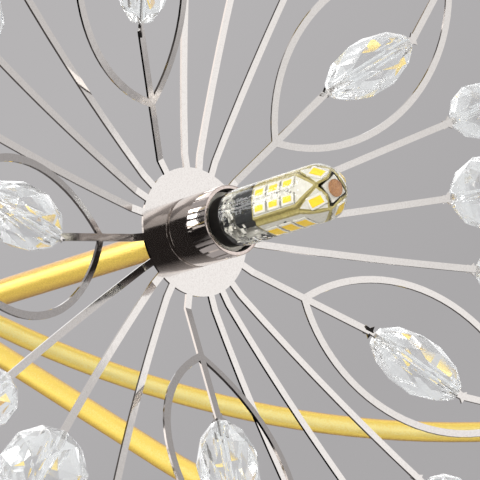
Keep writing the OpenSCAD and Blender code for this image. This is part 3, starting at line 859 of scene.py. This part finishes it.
def driver_parts(bm, lamp):
    """The driver board and its parts in the clear lower half of the lamp."""
    turn = Matrix.Rotation(3 * math.pi / 2 + lamp.roll, 4, "Z")
    low = lamp.start + 0.3 * MM
    high = lamp.board_start + 1 * MM
    board_w, board_t, board_ease = mm(9.4, 1, 0.1)
    board = (board_w, board_t, high - low)
    block(bm, board, (0, 0, (low + high) / 2), MASK, board_ease, turn=turn)

    # A moulded part on each face, and five bent legs of the first: size and middle in millimetres
    for size, middle in (
        ((7.6, 3, 8.4), (0.2, -3.6, 28.4)),
        ((6.6, 2.6, 6.4), (-0.4, 3.2, 27)),
    ):
        block(bm, mm(*size), mm(*middle), EPOXY, 0.3 * MM, 2, turn)
    first_leg, leg_step, leg_ease = -2.8, 1.4, 0.05 * MM
    for k in range(5):
        x = first_leg + leg_step * k
        block(bm, mm(0.5, 0.3, 2.2), mm(x, -4.2, 22.9), COPPER, leg_ease, 1, turn)
        block(bm, mm(0.5, 2.4, 0.3), mm(x, -3, 22), COPPER, leg_ease, 1, turn)

    # Small parts on both faces of the board: their places and sizes in millimetres, from and to
    across, along, out = (-4.2, 4.2), (19.6, 30.5), (0.9, 1.8)
    widths, lengths = (0.4, 1.8), (0.4, 2.0)
    part_t, part_ease = mm(0.8, 0.08)
    pick = random.Random(7)
    for _ in range(BOARD_PARTS):
        x = pick.uniform(*across) * MM
        z = pick.uniform(*along) * MM
        y = pick.choice((-1, 1)) * pick.uniform(*out) * MM
        size = [pick.uniform(*widths) * MM, part_t, pick.uniform(*lengths) * MM]
        slot = pick.choice((HOUSING, EPOXY, COPPER, COPPER, MASK))
        block(bm, size, (x, y, z), slot, part_ease, 1, turn)

    # Small parts just under the jacket; on the first side they keep low, below the moulded part
    lengths, radii = (0.3, 1.5), (5.4, 6.6)
    lowest, highest, highest_first, first_side = 19.4, 30.6, 23.5, 0.75
    part_t, part_ease = mm(0.4, 0.06)
    for _ in range(RING_PARTS):
        size = [pick.uniform(*lengths) * MM, part_t, pick.uniform(*lengths) * MM]
        way = pick.uniform(0, math.tau)
        radius = pick.uniform(*radii) * MM
        z = pick.uniform(lowest, highest if math.cos(way) < first_side else highest_first) * MM
        slot = pick.choice((HOUSING, MASK, HOUSING, COPPER, EPOXY))
        spin = turn @ Matrix.Rotation(way, 4, "Z")
        block(bm, size, (0, -radius, z), slot, part_ease, 1, spin)


def lamp_core(lamp):
    """The mesh of a lamp's boards, driver parts, pins and end plates."""
    bm = bmesh.new()
    turn = Matrix.Rotation(lamp.roll, 4, "Z")
    for side in range(4):
        light_board(bm, lamp, side)
    driver_parts(bm, lamp)
    # Two flat pins, in millimetres
    pin, pin_side, pin_middle = (2, 0.8, 8), 4.5, 12.8
    for x in (-pin_side, pin_side):
        block(bm, mm(*pin), mm(x, 0, pin_middle), COPPER, 0.2 * MM, 2)
    for side in range(4):
        corner_plate(bm, lamp, side)
    end_turn = turn @ Matrix.Rotation(math.pi / 4, 4, "Z")
    block(bm, END_PLATE, (0, 0, lamp.board_end + PLATE_OUT), HOUSING, turn=end_turn)
    # Painted reflection: a brown pad just under the dome's tip
    pad_r, pad_top_r, pad_t, pad_in = mm(2.3, 2.2, 0.4, 0.7)
    pad = bmesh.ops.create_cone(
        bm,
        cap_ends=True,
        segments=24,
        radius1=pad_r,
        radius2=pad_top_r,
        depth=pad_t,
        matrix=Matrix.Translation((0, 0, lamp.reach - pad_in)),
    )
    for face in {face for vert in pad["verts"] for face in vert.link_faces}:
        face.material_index = TIP_PAINTED_REFLECTION
    block(bm, BASE_PLATE, (0, 0, lamp.start + PLATE_OUT), HOUSING, turn=turn)
    return keep_mesh(bm, "lamp_core_pattern")


def lamp_jacket(lamp):
    """The mesh of a lamp's clear jacket: a round wall and a dome pinched in over the corners."""
    radius = lamp.width / 2
    shoulder = lamp.reach - DOME_L
    profile = [(0, lamp.start), (radius - JACKET_EASE, lamp.start)]
    profile += [(radius, lamp.start + JACKET_EASE), (radius, shoulder)]
    for k in range(1, DOME_STEPS + 1):
        rise = k * math.pi / 2 / DOME_STEPS
        out = radius * math.cos(rise) ** DOME_ROUNDNESS if k < DOME_STEPS else 0
        profile.append((out, shoulder + (lamp.reach - shoulder) * math.sin(rise)))
    bm = bmesh.new()
    lathe(bm, profile, ROUND_STEPS)
    for vert in bm.verts:
        rise = (vert.co.z - shoulder) / (lamp.reach - shoulder)
        if rise > 0:
            ridge = abs(math.cos(2 * (math.atan2(vert.co.y, vert.co.x) - lamp.roll)))
            vert.co.xy *= 1 - DOME_PINCH * rise * ridge
    return keep_mesh(bm, "jacket_pattern")


def lamp_foot(lamp):
    """The mesh of a lamp's dark collar in the cup."""
    around = lamp.collar_d / 2
    bottom, top = lamp.collar_start, lamp.start + COLLAR_OVERLAP
    profile = [(0, bottom), (around - COLLAR_EASE, bottom), (around, bottom + COLLAR_EASE)]
    profile += [(around, top - COLLAR_EASE), (around - COLLAR_EASE, top), (0, top)]
    bm = bmesh.new()
    lathe(bm, profile, ROUND_STEPS)
    return keep_mesh(bm, "foot_pattern")


def core_finishes(hues):
    """The finishes of a lamp's core, in the order of its slots."""
    return [
        # Sawn edge of woven glass board: dull olive
        plain_matter("glass_fibre_laminate", hues.laminate, linear("#8C8150"), 0.8, 0.45),
        # Screen-printed lacquer: an even grey white with some gloss
        plain_matter("printed_white_solder_mask", hues.mask, linear("#BCBAB0"), 1.0, 0.35),
        # Moulded white plastic: a little lighter and glossier than the boards
        plain_matter("moulded_chip_housing", linear("#CFCDC5"), linear("#C3C1B9"), 0.8, 0.3),
        # Resin filled with phosphor: flat strong yellow
        plain_matter("cast_phosphor_resin", hues.phosphor, linear("#E4BC24"), 0.7, 0.3),
        # Moulded epoxy: near black with a soft shine
        plain_matter("moulded_black_epoxy", linear("#17181A"), linear("#242628"), 0.6, 0.35),
        # Dipped tin: a bright grey metal
        plain_matter("tinned_copper", linear("#CFCFCB"), linear("#B3B3AE"), 0.6, 0.22, 0.01, 1.0),
        # Painted reflection: a warm brown pad at the tip, nearly matt, for the end facet's brown
        plain_matter("brown_tip_painted_reflection", linear("#9C6E42"), linear("#80552F"), 0.7, 0.4),
    ]


class CHANDELIER_OT_lamps(bpy.types.Operator):
    """Build the plug-in lamps: boards, driver parts, pins and clear jacket"""

    bl_idname = "chandelier.lamps"
    bl_label = "Plug-in lamps"

    def execute(self, context):
        lamp = context.scene.chandelier_lamp
        hues = context.scene.chandelier_colours
        silicone = clear_silicone(hues)
        inside = core_finishes(hues)
        core, jacket, foot = lamp_core(lamp), lamp_jacket(lamp), lamp_foot(lamp)
        # Painted shade: a black collar with a soft shine, for the dark cup round the lamp
        black = plain_matter("collar_in_painted_shade", linear("#121111"), linear("#1E1C1B"), 1.2, 0.4)
        for number in range(1, len(LIGHTS) + 1):
            light = light_matrix(number)
            node = "lamp_%d" % number
            body = "lamp_body_%d" % number
            for name, data, materials, smooth in (
                ("lamp_core_%d", core, inside, None),
                ("lamp_jacket_%d", jacket, [silicone], 40),
                ("lamp_foot_%d", foot, [black], 40),
            ):
                bm = bmesh.new()
                bm.from_mesh(data)
                bmesh.ops.transform(bm, matrix=light, verts=bm.verts)
                piece = finish_mesh(bm, name % number, materials, smooth)
                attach(piece, body)
                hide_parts(node)
        for data in (core, jacket, foot):
            bpy.data.meshes.remove(data)
        return {"FINISHED"}


def toward(tree, direction, start, end):
    """How far a ray points in a direction: 0 where its cosine is start, 1 where it is end."""
    ray = add_node(tree, "ShaderNodeTexCoord").outputs["Generated"]
    aim = Vector(direction).normalized()
    cosine = add_node(tree, "ShaderNodeVectorMath", {0: ray, 1: aim}, operation="DOT_PRODUCT")
    span = {"Value": cosine.outputs["Value"], "From Min": start, "From Max": end}
    return add_node(tree, "ShaderNodeMapRange", span).outputs[0]


def studio_world(hues):
    """A room in which mirrors, crystal and the camera each see tones of their own."""
    world = bpy.data.worlds.new("studio")
    bpy.context.scene.world = world
    world.use_nodes = True
    tree = world.node_tree
    tree.nodes.clear()
    # Crystal sees the backdrop behind, in a pale tent
    behind = toward(tree, (0, 0.87, 0.5), 0.8, 0.97)
    tent = layered(tree, hues.tent, (behind, hues.backdrop))
    # Mirrors see dusk round the camera, and an unlit corner at the left
    round_camera = toward(tree, (0, -0.8, -0.6), 0.3, 0.75)
    at_left = toward(tree, (-0.96, 0.2, -0.2), 0.75, 0.93)
    room = layered(tree, hues.backdrop, (round_camera, hues.dusk), (at_left, hues.corner))
    # The camera sees a wall that darkens towards the lower right
    lower_right = toward(tree, (1, 0.5, -0.866), -0.08, 0.08)
    wall = layered(tree, hues.wall, (lower_right, hues.wall_shade))
    rays = add_node(tree, "ShaderNodeLightPath")
    depth = rays.outputs["Transmission Depth"]
    through = add_node(tree, "ShaderNodeMath", {0: depth, 1: 1.0}, operation="MINIMUM")
    light = add_node(tree, "ShaderNodeBackground", {"Color": linear("#FFFFFF"), "Strength": 0.4})
    for share, tone in (
        (rays.outputs["Is Glossy Ray"], room),
        (through.outputs[0], tent),
        (rays.outputs["Is Camera Ray"], wall),
    ):
        plain = add_node(tree, "ShaderNodeBackground", {"Color": tone})
        light = add_node(
            tree, "ShaderNodeMixShader", {0: share, 1: light.outputs[0], 2: plain.outputs[0]}
        )
    add_node(tree, "ShaderNodeOutputWorld", {"Surface": light.outputs[0]})


def panel_light(name, place, size, radiance, tint):
    """A soft square panel of light whose face shows the given radiance."""
    data = bpy.data.lights.new(name, "AREA")
    data.shape = "RECTANGLE"
    data.size, data.size_y = size
    data.energy = radiance * math.pi * size[0] * size[1]
    data.color = linear(tint)[:3]
    made = bpy.data.objects.new(name, data)
    made.location = place
    aim = Vector(STAGE_CENTRE) - Vector(place)
    made.rotation_euler = aim.to_track_quat("-Z", "Y").to_euler()
    made.visible_camera = False
    made.visible_transmission = False
    bpy.context.collection.objects.link(made)
    return made


def painted_floor(hues):
    """Floor paint rolled on screed.

    To the eye it is matt and pale. It glows a little for the camera alone, and is clear from below.
    """
    made, tree = new_material("painted_screed_floor")
    # The screed is trowelled in patches of about 60 mm
    noise = grain(tree, 60, detail=3.0)
    patches = add_node(tree, "ShaderNodeMapRange", {"Value": noise, **NOISE_BAND})
    screed = layered(tree, hues.floor, (patches.outputs[0], linear("#CCCACA")))
    seen = add_node(tree, "ShaderNodeLightPath").outputs["Is Camera Ray"]
    glow = add_node(tree, "ShaderNodeMapRange", {"Value": seen, "To Max": 0.25})
    paint = add_node(
        tree,
        "ShaderNodeBsdfPrincipled",
        {
            "Base Color": screed,
            "Roughness": 0.7,
            "Emission Color": screed,
            "Emission Strength": glow.outputs[0],
        },
    )
    clear = add_node(tree, "ShaderNodeBsdfTransparent")
    below = add_node(tree, "ShaderNodeNewGeometry").outputs["Backfacing"]
    mixed = add_node(
        tree, "ShaderNodeMixShader", {0: below, 1: paint.outputs[0], 2: clear.outputs[0]}
    )
    add_node(tree, "ShaderNodeOutputMaterial", {"Surface": mixed.outputs[0]})
    return made


class CHANDELIER_OT_stage(bpy.types.Operator):
    """Set up the floor, backdrop, lights and camera"""

    bl_idname = "chandelier.stage"
    bl_label = "Stage"

    def execute(self, context):
        hues = context.scene.chandelier_colours
        studio_world(hues)
        for name, (place, size, radiance) in PANELS.items():
            panel_light(name, place, size, radiance, "#FFFFFF")
        for name, (place, radiance) in KEYS.items():
            panel_light(name, place, KEY_SIZE, radiance, "#FFFDF8").visible_glossy = False

        disc = bmesh.new()
        bmesh.ops.create_circle(disc, cap_ends=True, segments=64, radius=FLOOR_R)
        bmesh.ops.translate(disc, vec=(0, 0, FLOOR_AT), verts=disc.verts)
        floor = finish_mesh(disc, "floor", [painted_floor(hues)])
        floor.visible_glossy = False

        camera = bpy.data.objects.new("camera", bpy.data.cameras.new("camera"))
        camera.data.lens = CAMERA_LENS
        camera.data.sensor_width = CAMERA_SENSOR
        camera.data.sensor_fit = "HORIZONTAL"
        camera.location = CAMERA_AT
        camera.rotation_euler = [math.radians(turn) for turn in CAMERA_TURN]
        context.collection.objects.link(camera)
        context.scene.camera = camera
        context.scene.view_settings.view_transform = "Standard"
        return {"FINISHED"}


class CHANDELIER_PT_sidebar(bpy.types.Panel):
    """Lists the sizes, colours and steps of the chandelier"""

    bl_idname = "CHANDELIER_PT_sidebar"
    bl_label = "Chandelier"
    bl_space_type = "VIEW_3D"
    bl_region_type = "UI"
    bl_category = "Chandelier"

    def draw(self, context):
        for title, (attribute, group) in GROUPS.items():
            box = self.layout.box()
            box.label(text=title)
            settings = getattr(context.scene, attribute)
            for name in group.__annotations__:
                box.prop(settings, name)
        for step in STEPS:
            self.layout.operator(step.bl_idname)


GROUPS = {
    "Layout": ("chandelier_layout", ChandelierLayout),
    "Flower": ("chandelier_flower", ChandelierFlower),
    "Lamp": ("chandelier_lamp", ChandelierLamp),
    "Colours": ("chandelier_colours", ChandelierColours),
}
STEPS = (
    CHANDELIER_OT_stage,
    CHANDELIER_OT_gold,
    CHANDELIER_OT_flowers,
    CHANDELIER_OT_fittings,
    CHANDELIER_OT_crystals,
    CHANDELIER_OT_lamps,
)


def register():
    for attribute, group in GROUPS.values():
        bpy.utils.register_class(group)
        setattr(bpy.types.Scene, attribute, bpy.props.PointerProperty(type=group))
    for step in STEPS:
        bpy.utils.register_class(step)
    bpy.utils.register_class(CHANDELIER_PT_sidebar)


def unregister():
    bpy.utils.unregister_class(CHANDELIER_PT_sidebar)
    for step in reversed(STEPS):
        bpy.utils.unregister_class(step)
    for attribute, group in reversed(GROUPS.values()):
        delattr(bpy.types.Scene, attribute)
        bpy.utils.unregister_class(group)


def main():
    register()
    for step in STEPS:
        family, name = step.bl_idname.split(".")
        getattr(getattr(bpy.ops, family), name)()


if __name__ == "__main__":
    main()
